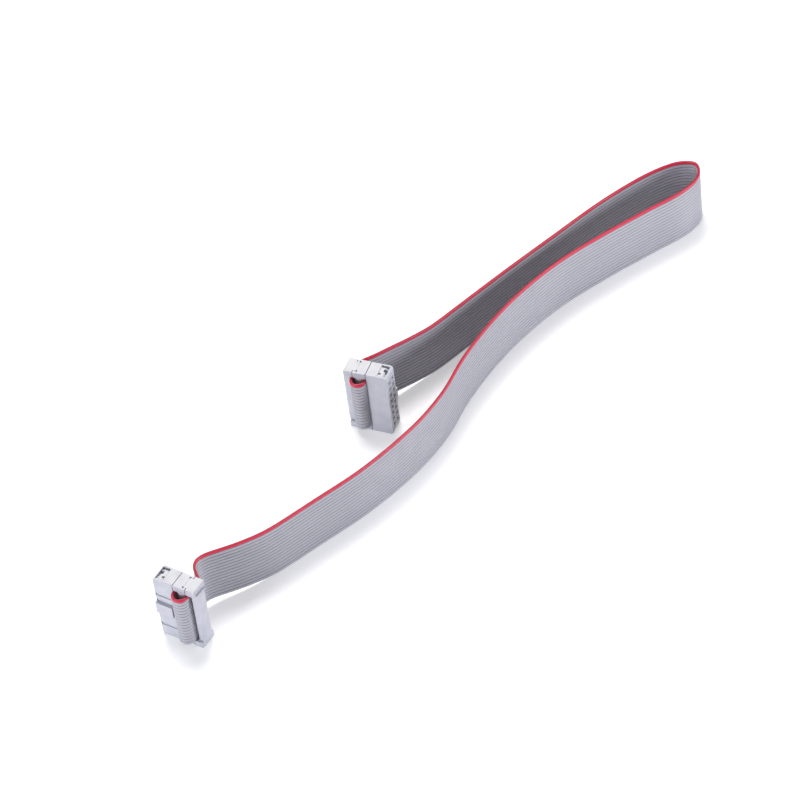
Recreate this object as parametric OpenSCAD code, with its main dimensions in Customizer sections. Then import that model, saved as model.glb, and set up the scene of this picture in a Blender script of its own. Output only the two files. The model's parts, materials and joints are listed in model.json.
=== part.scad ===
// Flat ribbon cable with a two-row insulation-displacement socket on each end.
// Each socket stands on one of its narrow ends and the ribbon stands on edge, bent into a long U.
// A socket is drawn on the bench, X along its rows, Y across them and Z up from its mating face,
// and is then stood up and turned into its place.

/* [Pins] */
// Pins in each of the two rows
pins_per_row = 8; // [5:1:10]
// Distance from pin to pin, along a row and from row to row
pin_pitch = 2.54; // [2.54:0.02:2.8]
// Side of the square hole that a pin enters
entry_w = 1.1; // [0.8:0.02:1.2]
// Side of the tapered mouth of that hole, at the mating face
mouth_w = 1.7; // [1.4:0.05:1.8]
// Depth of the tapered mouth
mouth_d = 0.45; // [0.3:0.05:0.6]
// Thickness of the floor that the entry holes go through
floor_t = 1.0; // [0.8:0.1:1.3]

/* [Body] */
// Thickness of the body, across its two rows
body_t = 6.1; // [5.8:0.1:7]
// Height of the body, from its mating face to the ribbon
body_h = 7.2; // [6.8:0.1:8]
// From the last pin of a row to the end of the body
end_margin = 3.56; // [3.5:0.02:4.2]
// Radius of the two mating corners, seen from the side
corner_r = 1.3; // [0.4:0.1:1.6]
// Radius along the two long mating edges
edge_r = 0.35; // [0.2:0.05:0.6]

/* [Key and grooves] */
// Width of the polarising key, in the middle of one long side
key_w = 4.4; // [3.6:0.1:4.8]
// Height of the key above that side
key_h = 0.9; // [0.5:0.1:1.2]
// Length of the key, from the mating face
key_l = 6.2; // [4:0.1:6.4]
// Width of the three grooves beside the key
groove_w = 1.1; // [0.6:0.1:1.3]
// Depth of those grooves
groove_d = 0.4; // [0.3:0.05:0.8]
// From the pin 1 end to the middle of the first groove
groove_1 = 7; // [6:0.1:7.5]
// From the pin 1 end to the middle of the third groove
groove_3 = 20.2; // [19:0.1:21]

/* [Latches] */
// Thickness of the cover's latch legs
leg_t = 0.9; // [0.7:0.05:1]
// Width of the latch windows in the ends of the body
window_w = 5.1; // [4.6:0.1:5.3]
// From the mating face to the near edge of a latch window
window_low = 0.8; // [0.7:0.05:1.2]
// Height of a latch window
window_h = 2.8; // [2.4:0.1:3.2]
// Open slot beside a latch hook, on the side where the ribbon leaves
latch_slot = 0.95; // [0.6:0.05:1.2]

/* [Cover] */
// Height of the cover, between the two runs of the ribbon
cover_h = 3.6; // [3:0.1:4]
// How far the cover's round nose stands into the ribbon loop
nose_out = 0.15; // [0:0.05:1]
// Open joint between the end arms of the body, the cover and the strain relief
joint = 0.24; // [0.1:0.02:0.3]

/* [Strain relief] */
// Height of the strain relief's end arms, above the outer run of the ribbon
relief_h = 2.2; // [1.9:0.1:3]
// How far its bar stands out past those arms
bar_out = 0.9; // [0:0.1:1.4]
// How far the bar is set back from each side of the socket
bar_setback = 0.95; // [0.6:0.05:1.2]
// Radius of the bar's two outer edges
bar_r = 1.1; // [0.6:0.1:1.6]
// Narrowing of the bar on each side, where it presses on the ribbon
bar_waist = 0.7; // [0.2:0.05:0.8]
// Width of the tongue that clips each end into the cover
tongue_w = 4.1; // [3:0.1:4.4]

/* [Contacts] */
// Thickness of the sheet that the contacts are stamped from
contact_t = 0.3; // [0.25:0.01:0.32]
// Width of one spring beam
beam_w = 0.36; // [0.3:0.01:0.4]
// Outer width of the pair of beams
beams_w = 1.44; // [1.4:0.02:1.6]
// Gap between the beams where they grip the pin
grip_gap = 0.48; // [0.4:0.02:0.56]
// Outer width of the fork that cuts into the ribbon
fork_w = 1.0; // [0.9:0.02:1.04]
// Slot in the fork that takes one conductor
fork_gap = 0.28; // [0.24:0.01:0.32]

/* [Ribbon] */
// Thickness of the ribbon over one conductor's insulation
ribbon_t = 0.9; // [0.8:0.05:1]
// Straight stretch of the ribbon past the body's side, before the loop turns
loop_lead = 0.35; // [0.1:0.05:0.8]

/* [Layout] */
// Turn of the first socket about the vertical, in degrees
turn_a = -61; // [-66:1:-56]
// Turn of the second socket about the vertical, in degrees
turn_b = 109; // [104:1:114]
// Second socket's place along the cable
place_b_x = -98; // [-102:0.5:-94]
// Second socket's place across the cable
place_b_y = -27; // [-30:0.5:-24]

/* [Hidden] */
$fn = 48;
eps = 0.01;
fit = 0.1;
sheet_fit = 0.02;
wire_pitch = pin_pitch / 2;
contact_count = 2 * pins_per_row;
row_l = (pins_per_row - 1) * pin_pitch;
body_l = row_l + 2 * end_margin;
ribbon_w = contact_count * wire_pitch;

// Levels of a socket above its mating face
cover_low = body_h + ribbon_t;
cover_top = cover_low + cover_h;
bar_low = cover_top + ribbon_t;
stack_h = bar_low + relief_h;

// End arms of the cover and of the strain relief, past the ribbon's edges
arm_in = ribbon_w / 2 + fit;
arm_t = body_l / 2 - arm_in;

// Latch leg, just outside the last contact, and its window through the end wall
leg_in = row_l / 2 + wire_pitch / 2 + fork_w / 2 + 0.48;
leg_out = leg_in + leg_t;
leg_fit = 0.05;
leg_low = window_low + 0.15;
leg_near = -window_w / 2 + fit;
leg_far = window_w / 2 - latch_slot;
hook_flush = 0.1;
hook_lead = 0.95;
hook_toe = 0.4;
hook_top = window_low + window_h - fit;

// Openings in a latch hook: a pocket through the leg, a slit beside it and a nick in one corner
pocket_from = leg_near + 2.3;
pocket_w = 1.25;
pocket_h = 1.3;
slit_w = 0.9;
slit_h = 0.5;
nick_from = leg_near + 0.85;
nick_w = 0.75;
nick_h = 0.85;

// Tongue of the strain relief, in its recess in the cover's arm
tongue_t = 0.9;
tongue_h = 0.95;
notch_w = 0.75;
notch_low = 0.35;
notch_high = 0.3;

// Contact, measured from the mating face
beam_low = floor_t + 0.15;
beam_lead = 0.5;
grip_level = beam_low + 0.7;
shoulder_h = 1.0;
shoulder_low = body_h - shoulder_h - 0.5;
beam_root = shoulder_low - 1.0;
tine_base = shoulder_low + shoulder_h;
tine_top = cover_low + 0.5;
chamber_w = beams_w + 0.44;
chamber_t = 1.1;

// Loop of the ribbon round the cover
loop_r = (cover_h + ribbon_t) / 2;
loop_steps = 7;

plastic = "#c6cad4";
plastic_light = "#cfd2db";
bronze = "#c9a25a";
ribbon_grey = "#9a9ba4";

place_a = [0, 0, turn_a];
place_b = [place_b_x, place_b_y, turn_b];

// Points that the ribbon passes between its two sockets: along the cable, across it, and how
// far it has come down from the socket's middle, at 0, to standing on the ground, at 1
route = [
    [2.4, 6.3, 0], [4.8, 5.8, 0], [8, 5.2, 0.05], [14, 4.7, 0.3], [20, 4.3, 0.6], [29, 4, 0.9],
    [42, 4.9, 1], [62, 6.2, 1],
    [84, 7.2, 1], [104, 8, 1], [118, 7.6, 1], [129, 6.2, 1], [137, 3.4, 1], [140.5, -1, 1],
    [137, -5.8, 1], [129, -7.6, 1], [115, -6, 1], [97, -4, 1], [78, -3, 1], [60, -4.6, 1],
    [43, -8.4, 1], [27, -14, 1], [12, -21, 1], [-4, -25.5, 1], [-26, -28, 1],
    [-48, -27.6, 1], [-64, -27.1, 0.9], [-73, -25.7, 0.6], [-80, -23.8, 0.35],
    [-84, -22.8, 0.15], [-86.8, -22.6, 0.05], [-88.8, -23.3, 0], [-90.4, -25, 0],
    [-91.4, -27.3, 0], [-92.3, -29.4, 0]
];

// Where contact n stands: odd pins in the row on the key side, even pins in the other
function contact_side(n) = n % 2 == 1 ? 1 : -1;
function contact_x(n) = row_l / 2 - (ceil(n / 2) - 1) * pin_pitch;
function contact_y(n) = contact_side(n) * pin_pitch / 2;

// A point of a standing socket, from its height level and its place across the rows
function socket_point(place, level, across) =
    let (along = stack_h / 2 - level, c = cos(place[2]), s = sin(place[2]))
    [place[0] + along * c - across * s, place[1] + along * s + across * c, body_l / 2];

// Middle line of the ribbon's folded end: the cut end, the inner run, the loop and the outer run.
// exit is 1 where the ribbon leaves on the key side and -1 where it leaves on the other
function folded_end(place, exit) = concat(
    [socket_point(place, body_h + ribbon_t / 2, exit * body_t / 2)],
    [for (i = [0:loop_steps])
        let (a = 180 * i / loop_steps)
        socket_point(place, (body_h + bar_low) / 2 - loop_r * cos(a),
            -exit * (body_t / 2 + loop_lead + loop_r * sin(a)))]
);
function exit_point(place, exit) = socket_point(place, cover_top + ribbon_t / 2, exit * body_t / 2);

function route_point(p) = [p[0], p[1], body_l / 2 + (ribbon_w - body_l) / 2 * p[2]];
function reversed(list) = [for (i = [len(list) - 1:-1:0]) list[i]];

// Smooth curve through a list of points, by cubic spans whose slope at each point is that of the
// chord between its two neighbours. before and after are the points past the two ends
function slope(p, q, r) = (r - p) / (norm(q - p) + norm(r - q));
function span_point(p, q, slope_p, slope_q, t) =
    let (d = norm(q - p), t2 = t * t, t3 = t2 * t)
    (2 * t3 - 3 * t2 + 1) * p + (t3 - 2 * t2 + t) * d * slope_p
        + (3 * t2 - 2 * t3) * q + (t3 - t2) * d * slope_q;
function smooth(points, before, after, steps) =
    let (p = concat([before], points, [after]), last = len(points))
    concat(
        [for (i = [1:last - 1]) for (k = [0:steps - 1])
            span_point(p[i], p[i + 1], slope(p[i - 1], p[i], p[i + 1]),
                slope(p[i], p[i + 1], p[i + 2]), k / steps)],
        [points[last - 1]]
    );

end_a = folded_end(place_a, 1);
end_b = folded_end(place_b, -1);
middle = concat([exit_point(place_a, 1)], [for (p = route) route_point(p)], [exit_point(place_b, -1)]);
line = concat(end_a, smooth(middle, end_a[len(end_a) - 1], end_b[len(end_b) - 1], 2), reversed(end_b));

// Section of the ribbon: across its thickness and up its width, both edges half round
edge_points = 6;
section = concat(
    [for (i = [0:edge_points - 1]) let (a = 180 * i / (edge_points - 1))
        [ribbon_t / 2 * cos(a), ribbon_w / 2 - ribbon_t / 2 + ribbon_t / 2 * sin(a)]],
    [for (i = [0:edge_points - 1]) let (a = 180 + 180 * i / (edge_points - 1))
        [ribbon_t / 2 * cos(a), -ribbon_w / 2 + ribbon_t / 2 + ribbon_t / 2 * sin(a)]]
);

// Level direction square to the line at its point i
function side_of(i) =
    let (a = line[max(i - 1, 0)], b = line[min(i + 1, len(line) - 1)], d = b - a)
    [d[1], -d[0], 0] / norm([d[0], d[1]]);

module ribbon_sweep() {
    n = len(section);
    rings = len(line);
    points = [for (i = [0:rings - 1]) let (side = side_of(i))
        for (s = section) line[i] + s[0] * side + [0, 0, s[1]]];
    walls = [for (i = [0:rings - 2]) for (k = [0:n - 1]) let (m = (k + 1) % n)
        [i * n + k, (i + 1) * n + k, (i + 1) * n + m, i * n + m]];
    caps = [[for (k = [0:n - 1]) k], [for (k = [n - 1:-1:0]) (rings - 1) * n + k]];
    polyhedron(points, concat(walls, caps), convexity = 10);
}

// Stands a socket on its far end, with its pin 1 end up, and turns it into its place
module stand(place) {
    translate([place[0], place[1], body_l / 2])
        rotate(place[2])
            translate([stack_h / 2, 0, 0])
                rotate([0, -90, 0])
                    children();
}

// An outline of X and Z, made as deep along Y as is asked, about the middle
module deep(depth) {
    rotate([90, 0, 0]) linear_extrude(depth, center = true) children();
}

// An outline of Y and Z, made as long along X as is asked, about the middle
module long(length) {
    rotate([90, 0, 90]) linear_extrude(length, center = true) children();
}

// A box between two corners
module box(low, high) {
    translate(low) cube(high - low);
}

// A box on both ends of the socket, alike by reflection
module both_ends(low, high) {
    box(low, high);
    box([-high[0], low[1], low[2]], [-low[0], high[1], high[2]]);
}

// Outline with its two lower corners rounded
module low_rounded(width, height, r) {
    translate([-width / 2, r]) square([width, height - r]);
    translate([-width / 2 + r, 0]) square([width - 2 * r, height]);
    for (side = [-1, 1]) translate([side * (width / 2 - r), r]) circle(r);
}

// Hole for one pin: tapered mouth, square entry, chamber for the beams and slot for the blade
module pin_hole(n) {
    side = contact_side(n);
    blade_in = -beams_w / 2 - sheet_fit * 3;
    blade_out = wire_pitch / 2 + fork_w / 2 + sheet_fit * 3;
    blade_t = contact_t / 2 + sheet_fit;
    translate([contact_x(n), contact_y(n), 0]) {
        translate([0, 0, -eps]) rotate(45)
            cylinder(h = mouth_d + eps, d1 = mouth_w * sqrt(2), d2 = entry_w * sqrt(2), $fn = 4);
        box([-entry_w / 2, -entry_w / 2, 0], [entry_w / 2, entry_w / 2, floor_t + eps]);
        box([-chamber_w / 2, -chamber_t / 2, floor_t], [chamber_w / 2, chamber_t / 2, shoulder_low]);
        mirror([side == 1 ? 0 : 1, 0, 0])
            box([blade_in, -blade_t, shoulder_low - eps], [blade_out, blade_t, body_h + eps]);
    }
}

module grooves() {
    groove_2 = body_l / 2 - key_w / 2 - groove_w / 2;
    for (from_end = [groove_1, groove_2, groove_3])
        box([body_l / 2 - from_end - groove_w / 2, body_t / 2 - groove_d, edge_r],
            [body_l / 2 - from_end + groove_w / 2, body_t / 2 + eps, body_h - edge_r]);
}

module socket_body() {
    color(plastic)
    difference() {
        union() {
            intersection() {
                deep(body_t) low_rounded(body_l, body_h, corner_r);
                long(body_l) low_rounded(body_t, body_h, edge_r);
            }
            long(key_w) translate([body_t / 2 - edge_r, 0]) {
                translate([0, edge_r]) square([edge_r + key_h, key_l - edge_r]);
                square([key_h, key_l]);
                translate([key_h, edge_r]) circle(edge_r);
            }
        }
        for (n = [1:contact_count]) pin_hole(n);
        grooves();
        both_ends([leg_in - leg_fit, -window_w / 2, window_low],
            [leg_out + leg_fit, window_w / 2, body_h + eps]);
        both_ends([leg_in, -window_w / 2, window_low],
            [body_l / 2 + eps, window_w / 2, window_low + window_h]);
    }
}

// Hook of a latch leg, seen from the side, with its lead-in slope towards the mating face
module hook_outline() {
    out = body_l / 2 - hook_flush;
    polygon([
        [leg_in, leg_low], [leg_out + hook_toe, leg_low], [out, leg_low + hook_lead],
        [out, hook_top], [leg_out, hook_top], [leg_out, body_h + joint + eps],
        [leg_in, body_h + joint + eps]
    ]);
}

module latch_leg() {
    difference() {
        translate([0, (leg_near + leg_far) / 2, 0]) deep(leg_far - leg_near) hook_outline();
        box([leg_in - eps, pocket_from, leg_low - eps],
            [body_l / 2, pocket_from + pocket_w, leg_low + pocket_h]);
        box([leg_out, pocket_from - slit_w, leg_low - eps],
            [body_l / 2, pocket_from + eps, leg_low + slit_h]);
        box([leg_out, nick_from, hook_top - nick_h], [body_l / 2, nick_from + nick_w, hook_top + eps]);
    }
}

// The cover as it lies where the ribbon leaves on the side of positive Y
module cover_form() {
    nose_r = cover_h / 2;
    nose_mid = -body_t / 2 - nose_out + nose_r;
    difference() {
        union() {
            long(2 * arm_in) {
                translate([nose_mid, cover_low]) square([body_t / 2 - nose_mid, cover_h]);
                translate([nose_mid, cover_low + nose_r]) circle(nose_r);
            }
            both_ends([arm_in - eps, -body_t / 2, body_h + joint], [body_l / 2, body_t / 2, cover_top]);
            latch_leg();
            mirror([1, 0, 0]) latch_leg();
        }
        both_ends([body_l / 2 - tongue_t - leg_fit, -tongue_w / 2 - leg_fit, cover_top - tongue_h - leg_fit],
            [body_l / 2 + eps, tongue_w / 2 + leg_fit, cover_top + eps]);
        for (side = [-1, 1])
            both_ends([body_l / 2 - tongue_t - leg_fit, side * tongue_w / 2 - notch_w / 2,
                cover_top - tongue_h - notch_low],
                [body_l / 2 + eps, side * tongue_w / 2 + notch_w / 2, cover_top - tongue_h + notch_high]);
    }
}

// Pockets in the cover for the tips of the forks
module fork_pockets() {
    for (n = [1:contact_count])
        translate([contact_x(n) + contact_side(n) * wire_pitch / 2, contact_y(n), 0])
            box([-fork_w / 2 - 0.06, -contact_t / 2 - 0.06, cover_low - eps],
                [fork_w / 2 + 0.06, contact_t / 2 + 0.06, tine_top + fit]);
}

module socket_cover(exit) {
    color(plastic_light)
    difference() {
        rotate(exit == 1 ? 0 : 180) cover_form();
        fork_pockets();
    }
}

// The strain relief: a bar that is narrower at its foot and round on its outer edges, its two end
// arms, and the tongues that clip into the cover
module strain_relief() {
    half = body_t / 2 - bar_setback;
    shelf = bar_low + bar_waist;
    bar_top = stack_h + bar_out;
    color(plastic) {
        long(2 * arm_in) {
            polygon([
                [-half + bar_waist, bar_low], [half - bar_waist, bar_low], [half, shelf], [-half, shelf]
            ]);
            translate([-half, shelf - eps]) square([2 * half, bar_top - bar_r - shelf + eps]);
            translate([-half + bar_r, shelf - eps]) square([2 * (half - bar_r), bar_top - shelf + eps]);
            for (side = [-1, 1])
                translate([side * (half - bar_r), bar_top - bar_r]) circle(bar_r);
        }
        both_ends([arm_in - eps, -body_t / 2, cover_top + joint], [body_l / 2, body_t / 2, stack_h]);
        both_ends([body_l / 2 - tongue_t, -tongue_w / 2, cover_top - tongue_h],
            [body_l / 2, tongue_w / 2, cover_top + joint + eps]);
    }
}

// The same outline on both sides of the middle, given clockwise on the side of positive X
module mirrored_pair(points) {
    polygon(reversed(points));
    polygon([for (p = points) [-p[0], p[1]]]);
}

// Flat outline of a contact whose fork stands off towards positive X
module contact_outline() {
    half = beams_w / 2;
    inner = half - beam_w;
    tine_in = fork_gap / 2;
    tine_out = fork_w / 2;
    // Two sprung beams, their tips bent in to grip the pin
    mirrored_pair([
        [half, shoulder_low], [half, beam_low + beam_lead], [inner + 0.06, beam_low],
        [grip_gap / 2, grip_level], [inner, grip_level + 1.2], [inner, shoulder_low]
    ]);
    translate([-half, beam_root]) square([beams_w, tine_base - beam_root]);
    // Shoulder that seats on the ledge of the chamber
    translate([0, shoulder_low]) square([wire_pitch / 2 + tine_out, shoulder_h]);
    // Two pointed tines, with the conductor between them
    translate([wire_pitch / 2, 0])
        mirrored_pair([
            [tine_out, shoulder_low + eps], [tine_in, shoulder_low + eps], [tine_in, tine_top - 0.25],
            [tine_in + 0.16, tine_top], [tine_out, tine_top - 0.45]
        ]);
}

module contact(n) {
    color(bronze)
    translate([contact_x(n), contact_y(n), 0])
        mirror([contact_side(n) == 1 ? 0 : 1, 0, 0])
            deep(contact_t) contact_outline();
}

// Cuts that the tines make through the ribbon, on each side of their conductor
module tine_cuts() {
    for (n = [1:contact_count])
        translate([contact_x(n) + contact_side(n) * wire_pitch / 2, contact_y(n), 0])
            for (side = [-1, 1])
                translate([side * (fork_w + fork_gap) / 4, 0, body_h + ribbon_t / 2])
                    cube([(fork_w - fork_gap) / 2 + 2 * sheet_fit, contact_t + 2 * sheet_fit, 2 * ribbon_t],
                        center = true);
}

module ribbon() {
    color(ribbon_grey)
    difference() {
        ribbon_sweep();
        stand(place_a) tine_cuts();
        stand(place_b) tine_cuts();
    }
}

module socket_a_body() { stand(place_a) socket_body(); }
module socket_a_cover() { stand(place_a) socket_cover(1); }
module socket_a_strain_relief() { stand(place_a) strain_relief(); }
module contact_a(n) { stand(place_a) contact(n); }

module socket_b_body() { stand(place_b) socket_body(); }
module socket_b_cover() { stand(place_b) socket_cover(-1); }
module socket_b_strain_relief() { stand(place_b) strain_relief(); }
module contact_b(n) { stand(place_b) contact(n); }

ribbon();
socket_a_body();
socket_a_cover();
socket_a_strain_relief();
socket_b_body();
socket_b_cover();
socket_b_strain_relief();
for (n = [1:contact_count]) contact_a(n);
for (n = [1:contact_count]) contact_b(n);
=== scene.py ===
"""Flat ribbon cable with a two-row socket on each end, standing on edge in a long U."""
import json
import math

import bpy
import numpy as np
from mathutils import Matrix


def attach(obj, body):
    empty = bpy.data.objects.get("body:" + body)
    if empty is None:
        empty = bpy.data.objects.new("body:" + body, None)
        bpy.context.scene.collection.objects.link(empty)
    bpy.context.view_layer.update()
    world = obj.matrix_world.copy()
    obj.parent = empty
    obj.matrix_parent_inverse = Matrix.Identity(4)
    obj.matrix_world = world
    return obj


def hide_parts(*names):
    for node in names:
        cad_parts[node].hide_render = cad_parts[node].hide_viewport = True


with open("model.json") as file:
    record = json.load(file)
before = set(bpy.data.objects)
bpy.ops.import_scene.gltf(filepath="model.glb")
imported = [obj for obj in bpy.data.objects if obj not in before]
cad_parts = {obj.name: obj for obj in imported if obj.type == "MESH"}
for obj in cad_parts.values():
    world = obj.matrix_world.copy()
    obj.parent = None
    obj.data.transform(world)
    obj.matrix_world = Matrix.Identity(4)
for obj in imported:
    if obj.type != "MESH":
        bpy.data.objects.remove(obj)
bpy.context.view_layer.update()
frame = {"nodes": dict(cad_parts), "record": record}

MM = 0.001


# The camera. It looks down at the cable from the sockets' end, a little over a metre off and through
# a long lens, and it leans a few degrees to the left, so upright edges lean with it.
look_at = np.array([12.2, 2.4, 0.0]) * MM
look_from = 1256 * MM
heading = math.radians(55.0)
drop = math.radians(45.1)
lean = math.radians(-7.7)
picture_px = 800
focal_px = 3919
sensor_mm = 36.0

forward = np.array([math.cos(drop) * math.cos(heading), math.cos(drop) * math.sin(heading), -math.sin(drop)])
level_right = np.array([math.sin(heading), -math.cos(heading), 0.0])
level_up = np.cross(level_right, forward)
right = math.cos(lean) * level_right + math.sin(lean) * level_up
up = math.cos(lean) * level_up - math.sin(lean) * level_right

camera_data = bpy.data.cameras.new("camera")
camera_data.sensor_width = sensor_mm
camera_data.lens = sensor_mm * focal_px / picture_px
camera_data.clip_start = 0.1
camera_data.clip_end = 20.0
camera = bpy.data.objects.new("camera", camera_data)
axes = np.column_stack([right, up, -forward])
place = look_at - look_from * forward
camera.matrix_world = Matrix([[*axes[row], place[row]] for row in range(3)] + [[0, 0, 0, 1]])
bpy.context.scene.collection.objects.link(camera)
bpy.context.scene.camera = camera
bpy.context.scene.view_settings.view_transform = "Standard"


# The ribbon. Sixteen stranded wires lie side by side in one extruded grey PVC jacket, the edge wire
# red. Each end is folded round its socket's cover: cut end, inner run, loop, outer run.
wires = 16
wire_pitch = 1.27 * MM
ribbon_w = wires * wire_pitch
jacket_r = 0.45 * MM
socket_l = 24.9 * MM
socket_t = 6.1 * MM
inner_run = 7.65 * MM
outer_run = 12.15 * MM
loop_lead = 0.35 * MM

# Points that the ribbon passes between its sockets: along the cable, across it, and how far it has
# come down from the socket's middle, at 0, to standing on the ground, at 1
route = np.array([
    [2.4, 6.3, 0], [4.8, 5.8, 0], [8, 5.2, 0.05], [14, 4.7, 0.3], [20, 4.3, 0.6], [29, 4, 0.9],
    [42, 4.9, 1], [62, 6.2, 1],
    [84, 7.2, 1], [104, 8, 1], [118, 7.6, 1], [129, 6.2, 1], [137, 3.4, 1], [140.5, -1, 1],
    [137, -5.8, 1], [129, -7.6, 1], [115, -6, 1], [97, -4, 1], [78, -3, 1], [60, -4.6, 1],
    [43, -8.4, 1], [27, -14, 1], [12, -21, 1], [-4, -25.5, 1], [-26, -28, 1],
    [-48, -27.6, 1], [-64, -27.1, 0.9], [-73, -25.7, 0.6], [-80, -23.8, 0.35],
    [-84, -22.8, 0.15], [-86.8, -22.6, 0.05], [-88.8, -23.3, 0], [-90.4, -25, 0],
    [-91.4, -27.3, 0], [-92.3, -29.4, 0],
])
faces = {m["name"]: m for m in frame["record"]["mounts"]}


def socket_points(end, level, across):
    """Points of a standing socket: back from the middle of its mating face by the level, and to the
    side, square to the face's axis and level with it, by the place across the rows."""
    face = faces[f"socket_{end}_mating_face"]
    axis = np.array(face["axis"], float)
    side = np.array([-axis[1], axis[0], 0.0])
    level, across = np.broadcast_arrays(np.asarray(level, float), np.asarray(across, float))
    return np.array(face["pos_m"]) - level[:, None] * axis + across[:, None] * side


def folded_end(end, leaves, steps=18, run_points=5):
    """Middle line of a folded end: the cut end, the inner run, the loop, and the outer run up to its
    exit. The loop is half a circle, level = middle - radius cos(turn), across = -(lead + radius
    sin(turn)). leaves is 1 where the ribbon leaves on the key side, else -1."""
    turn = np.linspace(0, math.pi, steps)
    middle, radius = (inner_run + outer_run) / 2, (outer_run - inner_run) / 2
    inner = np.linspace(socket_t / 2, -socket_t / 2, run_points)
    outer = inner[:0:-1]
    loop = -(socket_t / 2 + loop_lead + radius * np.sin(turn))
    level = np.concatenate([np.full(len(inner), inner_run), middle - radius * np.cos(turn),
                            np.full(len(outer), outer_run)])
    return socket_points(end, level, leaves * np.concatenate([inner, loop, outer]))


def smooth(points, before, after, steps):
    """Curve through the points in cubic spans. The slope at each point is that of the chord between
    its neighbours, over the way to the two of them. before and after lie past the two ends."""
    p = np.vstack([before, points, after])
    way = np.linalg.norm(np.diff(p, axis=0), axis=1)[:, None]
    slope = (p[2:] - p[:-2]) / (way[:-1] + way[1:])
    t = (np.arange(steps) / steps)[None, :, None]
    a, b, span = p[1:-2, None], p[2:-1, None], way[1:-1, None]
    spans = ((2 * t**3 - 3 * t**2 + 1) * a + (t**3 - 2 * t**2 + t) * span * slope[:-1, None]
             + (3 * t**2 - 2 * t**3) * b + (t**3 - t**2) * span * slope[1:, None])
    return np.vstack([spans.reshape(-1, 3), points[-1]])


fold_a = folded_end("a", 1)
fold_b = folded_end("b", -1)
exit_a = socket_points("a", [outer_run], [socket_t / 2])[0]
exit_b = socket_points("b", [outer_run], [-socket_t / 2])[0]
route_z = socket_l / 2 + (ribbon_w - socket_l) / 2 * route[:, 2]
between = np.vstack([exit_a, np.column_stack([route[:, :2] * MM, route_z]), exit_b])
ribbon_line = np.vstack([fold_a, smooth(between, fold_a[-1], fold_b[-1], 8), fold_b[::-1]])
# The spans swing a hair too low where the ribbon comes down to the ground
ribbon_line[:, 2] = np.maximum(ribbon_line[:, 2], ribbon_w / 2)


def ribbed_section(points_per_wire=9):
    """Outline of the ribbon's section, as thickness and place across its width. Over each wire the
    half thickness is web + (radius - web) sqrt(1 - (offset / crown)^2), an ellipse on a thin web;
    outside the middles of the two edge wires it is an ellipse that closes to nothing."""
    # Half the web's thickness, and half widths of a wire's crown and of an edge wire's outer side
    web, crown, edge = 0.15 * MM, 0.6 * MM, 0.635 * MM
    step = np.linspace(-1, 1, points_per_wire + 1)[:-1] * wire_pitch / 2
    middles = (np.arange(wires) - (wires - 1) / 2) * wire_pitch
    across = np.append((middles[:, None] + step).ravel(), ribbon_w / 2)
    offset = np.append(np.tile(step, wires), wire_pitch / 2)
    half = web + (jacket_r - web) * np.sqrt(np.clip(1 - (offset / crown) ** 2, 0, 1))
    outside = np.abs(across) > middles[-1]
    half = np.where(outside, jacket_r * np.sqrt(np.clip(1 - (offset / edge) ** 2, 0, 1)), half)
    return np.vstack([np.column_stack([half, across]), np.column_stack([-half, across])[-2:0:-1]])


def swept(name, line, section):
    """Closed solid of a section carried along a line. The section's first number runs level and
    square to the line, its second straight up. The UV map holds the way along and the place across."""
    ahead = np.gradient(line, axis=0)
    side = np.column_stack([ahead[:, 1], -ahead[:, 0], np.zeros(len(line))])
    side /= np.linalg.norm(side, axis=1)[:, None]
    points = line[:, None] + section[None, :, :1] * side[:, None]
    points[..., 2] += section[None, :, 1]
    rings, n = len(line), len(section)
    ring, k = np.meshgrid(np.arange(rings - 1), np.arange(n), indexing="ij")
    here, beside = ring * n + k, ring * n + (k + 1) % n
    walls = np.stack([here + n, beside + n, beside, here], -1).reshape(-1, 4)
    caps = [list(range(n)), list(range((rings - 1) * n, rings * n))[::-1]]
    mesh = bpy.data.meshes.new(name)
    mesh.from_pydata(points.reshape(-1, 3).tolist(), [], walls.tolist() + caps)
    way = np.append(0, np.cumsum(np.linalg.norm(np.diff(line, axis=0), axis=1)))
    uv = np.stack(np.broadcast_arrays(way[:, None], section[None, :, 1]), -1).reshape(-1, 2)
    corner = np.empty(len(mesh.loops), int)
    mesh.loops.foreach_get("vertex_index", corner)
    layer = mesh.uv_layers.new(name="along_across")
    layer.data.foreach_set("uv", uv[corner].ravel())
    mesh.polygons.foreach_set("use_smooth", np.ones(len(mesh.polygons), bool))
    piece = bpy.data.objects.new(name, mesh)
    bpy.context.scene.collection.objects.link(piece)
    return piece


def linear(hex_colour):
    """Linear colour of an sRGB hex value."""
    srgb = np.array([int(hex_colour[i:i + 2], 16) for i in (1, 3, 5)]) / 255
    return (*np.where(srgb <= 0.04045, srgb / 12.92, ((srgb + 0.055) / 1.055) ** 2.4), 1.0)


def new_material(name):
    """A named material with its node tree and its surface shader."""
    material = bpy.data.materials.new(name)
    material.use_nodes = True
    return material, material.node_tree, material.node_tree.nodes["Principled BSDF"]


def add(tree, kind, settings=None, **sockets):
    """Adds one node. settings are its own properties; each socket named or numbered (as _0) takes
    a value or, where it is given an output, a link."""
    node = tree.nodes.new(kind)
    for key, value in (settings or {}).items():
        setattr(node, key, value)
    for key, value in sockets.items():
        socket = node.inputs[int(key[1:])] if key[1:].isdigit() else node.inputs[key.replace("_", " ")]
        if isinstance(value, bpy.types.NodeSocket):
            tree.links.new(value, socket)
        else:
            socket.default_value = value
    return node


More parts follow.
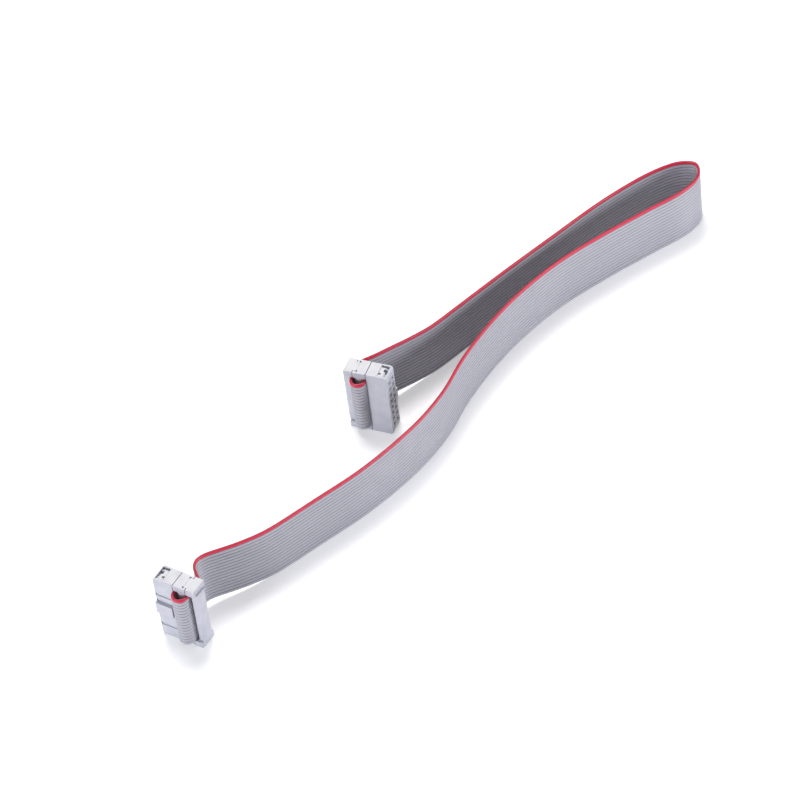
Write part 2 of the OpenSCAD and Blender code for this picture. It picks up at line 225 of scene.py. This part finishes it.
def jacket_pvc():
    """Extruded flexible PVC: a soft sheen, faint drawn streaks along the wires, and painted shade that
    darkens the webs between them.
    """
    material, tree, shader = new_material("jacket_pvc_extruded")
    # The second and fourth colours are painted shade: darker tones laid in the webs between wires.
    grey, grey_painted_shade, red, red_painted_shade = map(linear, ("#b0afb7", "#5e5e66", "#d60d3d", "#760a24"))
    uv = add(tree, "ShaderNodeUVMap", {"uv_map": "along_across"})
    place = add(tree, "ShaderNodeSeparateXYZ", Vector=uv.outputs[0])
    # Place across in wires, counted from the plain edge
    count = add(tree, "ShaderNodeMath", {"operation": "MULTIPLY_ADD"}, _0=place.outputs["Y"],
                _1=1 / wire_pitch, _2=wires / 2)
    is_red = add(tree, "ShaderNodeMath", {"operation": "GREATER_THAN"}, _0=count.outputs[0], _1=wires - 1.0)
    in_wire = add(tree, "ShaderNodeMath", {"operation": "FRACT"}, _0=count.outputs[0])
    from_web = add(tree, "ShaderNodeMath", {"operation": "PINGPONG"}, _0=in_wire.outputs[0], _1=0.5)
    # Painted shade: towards the web between two wires the colour turns to the darker tones.
    web = add(tree, "ShaderNodeMapRange", {"interpolation_type": "SMOOTHSTEP"}, Value=from_web.outputs[0],
              From_Min=0.0, From_Max=0.17, To_Min=1.0, To_Max=0.0)
    # Drawn streaks: 0.2 mm across and 25 mm along
    stretched = add(tree, "ShaderNodeVectorMath", {"operation": "MULTIPLY"}, _0=uv.outputs[0],
                    _1=(1 / (25 * MM), 1 / (0.2 * MM), 1))
    streaks = add(tree, "ShaderNodeTexNoise", None, Vector=stretched.outputs[0], Scale=1.0, Detail=3.0)
    tone = add(tree, "ShaderNodeMapRange", None, Value=streaks.outputs[0], From_Min=0.3, From_Max=0.7,
               To_Min=0.93, To_Max=1.06)
    body = add(tree, "ShaderNodeMix", {"data_type": "RGBA"}, _0=is_red.outputs[0], _6=grey, _7=red)
    shade = add(tree, "ShaderNodeMix", {"data_type": "RGBA"}, _0=is_red.outputs[0], _6=grey_painted_shade, _7=red_painted_shade)
    mixed = add(tree, "ShaderNodeMix", {"data_type": "RGBA"}, _0=web.outputs[0], _6=body.outputs[2],
                _7=shade.outputs[2])
    toned = add(tree, "ShaderNodeVectorMath", {"operation": "SCALE"}, _0=mixed.outputs[2], _3=tone.outputs[0])
    tree.links.new(toned.outputs[0], shader.inputs["Base Color"])
    # Handling leaves the sheen uneven, in patches of about 6 mm
    patches = add(tree, "ShaderNodeVectorMath", {"operation": "SCALE"}, _0=uv.outputs[0], _3=1 / (6 * MM))
    uneven = add(tree, "ShaderNodeTexNoise", None, Vector=patches.outputs[0], Scale=1.0, Detail=4.0)
    rough = add(tree, "ShaderNodeMapRange", None, Value=uneven.outputs[0], From_Min=0.3, From_Max=0.7,
                To_Min=0.36, To_Max=0.5)
    tree.links.new(rough.outputs[0], shader.inputs["Roughness"])
    bump = add(tree, "ShaderNodeBump", None, Strength=0.25, Distance=0.03 * MM, Height=streaks.outputs[0])
    tree.links.new(bump.outputs[0], shader.inputs["Normal"])
    shader.inputs["IOR"].default_value = 1.53
    return material


ribbon = swept("ribbon_jacket", ribbon_line, ribbed_section())
ribbon.data.materials.append(jacket_pvc())
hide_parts("ribbon")
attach(ribbon, "root")


# The conductors. Each wire has seven strands of drawn copper, 0.127 mm thick. They show where the
# ribbon was cut off flush beside each socket, under its outer run.
strand_d = 0.127 * MM
lay_r = 0.132 * MM
stand_out = 0.06 * MM
reach_in = 0.4 * MM


def cut_strands(end, leaves, sides=8):
    """Points of the strands at one cut end, by wire, strand, ring and side. One strand is in the
    middle of its wire and six lie round it. Each is a prism, and the ring at its tip is half as wide."""
    hexagon = np.radians(np.arange(6) * 60)
    lay = np.vstack([[0, 0], np.column_stack([np.cos(hexagon), np.sin(hexagon)]) * lay_r])
    turn = np.linspace(0, 2 * math.pi, sides, endpoint=False)
    circle = np.column_stack([np.cos(turn), np.sin(turn)]) * strand_d / 2
    wide = np.array([1.0, 1.0, 0.5])
    out = socket_t / 2 + np.array([-reach_in, stand_out / 2, stand_out])
    spot = lay[:, None, None] + wide[:, None, None] * circle
    level = inner_run + spot[..., 0]
    points = socket_points(end, level.ravel(), np.broadcast_to(leaves * out[:, None], level.shape).ravel())
    points = points.reshape(*level.shape, 3)
    points[..., 2] += spot[..., 1]
    rise = (np.arange(wires) - (wires - 1) / 2) * wire_pitch
    return points + np.multiply.outer(rise, [0, 0, 1])[:, None, None, None]


def prisms(name, rings):
    """One mesh of closed prisms, from an array of their points by prism, ring and side."""
    count, levels, n = rings.shape[:3]
    first = np.arange(count)[:, None] * levels * n
    k = np.arange(n)
    low = first[:, :, None] + np.arange(levels - 1)[:, None] * n + k
    beside = low + (k + 1) % n - k
    walls = np.stack([low, beside, beside + n, low + n], -1).reshape(-1, 4)
    mesh = bpy.data.meshes.new(name)
    mesh.from_pydata(rings.reshape(-1, 3).tolist(), [],
                     walls.tolist() + (first + k[::-1]).tolist() + (first + (levels - 1) * n + k).tolist())
    piece = bpy.data.objects.new(name, mesh)
    bpy.context.scene.collection.objects.link(piece)
    return piece


def drawn_copper():
    """Bare drawn copper, freshly sheared: warm and bright, a little uneven from strand to strand."""
    material, tree, shader = new_material("drawn_copper_sheared")
    place = add(tree, "ShaderNodeTexCoord")
    # The pattern's cells are as wide as one strand
    uneven = add(tree, "ShaderNodeTexNoise", None, Vector=place.outputs["Object"], Scale=1 / strand_d)
    colour = add(tree, "ShaderNodeMix", {"data_type": "RGBA"}, _0=uneven.outputs[0], _6=linear("#d98e63"),
                 _7=linear("#b9683f"))
    tree.links.new(colour.outputs[2], shader.inputs["Base Color"])
    rough = add(tree, "ShaderNodeMapRange", None, Value=uneven.outputs[0], To_Min=0.25, To_Max=0.45)
    tree.links.new(rough.outputs[0], shader.inputs["Roughness"])
    shader.inputs["Metallic"].default_value = 1.0
    return material


# The second end points the other way, so its sides are taken in reverse to keep the faces outward
cut_ends = np.concatenate([cut_strands("a", 1), cut_strands("b", -1)[..., ::-1, :]])
strands = prisms("wire_strands", cut_ends.reshape(-1, *cut_ends.shape[2:]))
strands.data.materials.append(drawn_copper())
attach(strands, "root")


# The sockets. Body, cover and strain relief are moulded in light grey glass-filled polyester, snapped
# together over the ribbon, with the fine matt texture of a spark-eroded mould and slightly soft edges.
def moulded_polyester():
    """Glass-filled PBT: pale, matt, faintly mottled where it flowed, with a painted highlight that makes the
    edges a touch lighter.
    """
    material, tree, shader = new_material("glass_filled_pbt_moulded")
    # The third colour is a painted highlight, laid on every edge.
    plain, flow, edge = map(linear, ("#c4c5cd", "#bbbcc5", "#d9dadf"))
    place = add(tree, "ShaderNodeTexCoord")
    # Flow marks about 4 mm long, and a spark texture of 0.05 mm, drawn at 0.3 mm so that it shows
    marks = add(tree, "ShaderNodeTexNoise", None, Vector=place.outputs["Object"], Scale=1 / (4 * MM),
                Detail=5.0)
    spark = add(tree, "ShaderNodeTexNoise", None, Vector=place.outputs["Object"], Scale=1 / (0.3 * MM),
                Detail=3.0)
    flowed = add(tree, "ShaderNodeMapRange", None, Value=marks.outputs[0], From_Min=0.35, From_Max=0.65)
    mottled = add(tree, "ShaderNodeMix", {"data_type": "RGBA"}, _0=flowed.outputs[0], _6=plain, _7=flow)
    soft = add(tree, "ShaderNodeBevel", {"samples": 6}, Radius=0.14 * MM)
    true = add(tree, "ShaderNodeNewGeometry")
    same = add(tree, "ShaderNodeVectorMath", {"operation": "DOT_PRODUCT"}, _0=soft.outputs[0],
               _1=true.outputs["True Normal"])
    # Painted highlight: where the rounded normal leaves the true one, at every edge, the colour is lifted
    # towards the paler grey.
    painted_highlight_mask = add(tree, "ShaderNodeMapRange", None, Value=same.outputs["Value"], From_Min=0.99, From_Max=0.8,
                  To_Min=0.0, To_Max=0.6)
    lit = add(tree, "ShaderNodeMix", {"data_type": "RGBA"}, _0=painted_highlight_mask.outputs[0], _6=mottled.outputs[2],
              _7=edge)
    tree.links.new(lit.outputs[2], shader.inputs["Base Color"])
    rough = add(tree, "ShaderNodeMapRange", None, Value=marks.outputs[0], From_Min=0.3, From_Max=0.7,
                To_Min=0.48, To_Max=0.6)
    tree.links.new(rough.outputs[0], shader.inputs["Roughness"])
    bump = add(tree, "ShaderNodeBump", None, Strength=0.6, Distance=0.04 * MM, Height=spark.outputs[0],
               Normal=soft.outputs[0])
    tree.links.new(bump.outputs[0], shader.inputs["Normal"])
    shader.inputs["IOR"].default_value = 1.55
    return material


def dress(node, material):
    """Gives a carried-over node its finish."""
    piece = frame["nodes"][node]
    piece.data.materials.clear()
    piece.data.materials.append(material)


polyester = moulded_polyester()
for node in frame["nodes"]:
    if node.startswith("socket_"):
        dress(node, polyester)


# The contacts. Each is stamped from phosphor bronze sheet and flashed with gold, so it is a warm
# metal, brighter on the rolled faces, deep in its hole and seen only as a glint.
def gold_flashed_bronze():
    """Gold flash on rolled bronze: warm, fairly smooth, with faint rolling lines 0.1 mm apart."""
    material, tree, shader = new_material("phosphor_bronze_gold_flashed")
    place = add(tree, "ShaderNodeTexCoord")
    drawn = add(tree, "ShaderNodeVectorMath", {"operation": "MULTIPLY"}, _0=place.outputs["Object"],
                _1=(1 / (2 * MM), 1 / (2 * MM), 1 / (0.1 * MM)))
    lines = add(tree, "ShaderNodeTexNoise", None, Vector=drawn.outputs[0], Scale=1.0, Detail=2.0)
    colour = add(tree, "ShaderNodeMix", {"data_type": "RGBA"}, _0=lines.outputs[0], _6=linear("#d8b06c"),
                 _7=linear("#c39a55"))
    tree.links.new(colour.outputs[2], shader.inputs["Base Color"])
    rough = add(tree, "ShaderNodeMapRange", None, Value=lines.outputs[0], To_Min=0.2, To_Max=0.38)
    tree.links.new(rough.outputs[0], shader.inputs["Roughness"])
    shader.inputs["Metallic"].default_value = 1.0
    return material


bronze = gold_flashed_bronze()
for node in frame["nodes"]:
    if node.startswith("contact_"):
        dress(node, bronze)


# The floor. A plain sheet of white card under the cable. What the camera and gloss see of it is
# lifted to white, and the cable's soft shadow stays on it.
floor_size = 6.0
floor_lift = 0.4


def studio_sheet():
    """Matt white card, with enough of its own light towards the camera to read as white."""
    material, tree, shader = new_material("studio_card")
    shader.inputs["Base Color"].default_value = linear("#dedee2")
    shader.inputs["Roughness"].default_value = 0.9
    path = add(tree, "ShaderNodeLightPath")
    seen = add(tree, "ShaderNodeMath", {"operation": "ADD", "use_clamp": True},
               _0=path.outputs["Is Camera Ray"], _1=path.outputs["Is Glossy Ray"])
    strength = add(tree, "ShaderNodeMath", {"operation": "MULTIPLY"}, _0=seen.outputs[0],
                   _1=floor_lift)
    tree.links.new(strength.outputs[0], shader.inputs["Emission Strength"])
    shader.inputs["Emission Color"].default_value = (1, 1, 1, 1)
    return material


floor_mesh = bpy.data.meshes.new("floor")
corners = np.array([[-1, -1, 0], [1, -1, 0], [1, 1, 0], [-1, 1, 0]]) * floor_size / 2
floor_mesh.from_pydata(corners.tolist(), [], [(0, 1, 2, 3)])
floor = bpy.data.objects.new("floor", floor_mesh)
bpy.context.scene.collection.objects.link(floor)
floor.data.materials.append(studio_sheet())


# The light. A large soft box high up and a little behind makes the tops bright. Two low ones, at the
# left and at the right in front, light the near sides, and the room is pale and even.
world = bpy.data.worlds.new("room")
bpy.context.scene.world = world
world.use_nodes = True
room = world.node_tree.nodes["Background"]
room.inputs["Color"].default_value = linear("#f2f5fb")
room.inputs["Strength"].default_value = 0.22


def soft_box(name, side, place, aim, watts, colour):
    """A square area lamp of the given side, at a place, facing a point."""
    lamp_data = bpy.data.lights.new(name, "AREA")
    lamp_data.size = side
    lamp_data.energy = watts
    lamp_data.color = linear(colour)[:3]
    lamp = bpy.data.objects.new(name, lamp_data)
    back = np.array(place) - np.array(aim)
    back /= np.linalg.norm(back)
    across = np.cross([0.0, 0.0, 1.0] if abs(back[2]) < 0.99 else [0.0, 1.0, 0.0], back)
    across /= np.linalg.norm(across)
    turned = np.column_stack([across, np.cross(back, across), back])
    lamp.matrix_world = Matrix([[*turned[row], place[row]] for row in range(3)] + [[0, 0, 0, 1]])
    bpy.context.scene.collection.objects.link(lamp)


soft_box("high_back", 0.6, (0.25, 0.45, 1.15), (0.0, 0.0, 0.0), 17.5, "#fffcf5")
soft_box("left", 0.35, (-1.15, -0.15, 0.27), (0.0, 0.0, 0.01), 8.7, "#f5f7ff")
soft_box("front_right", 0.4, (0.68, -0.92, 0.2), (0.0, 0.0, 0.01), 8.6, "#f5f7ff")
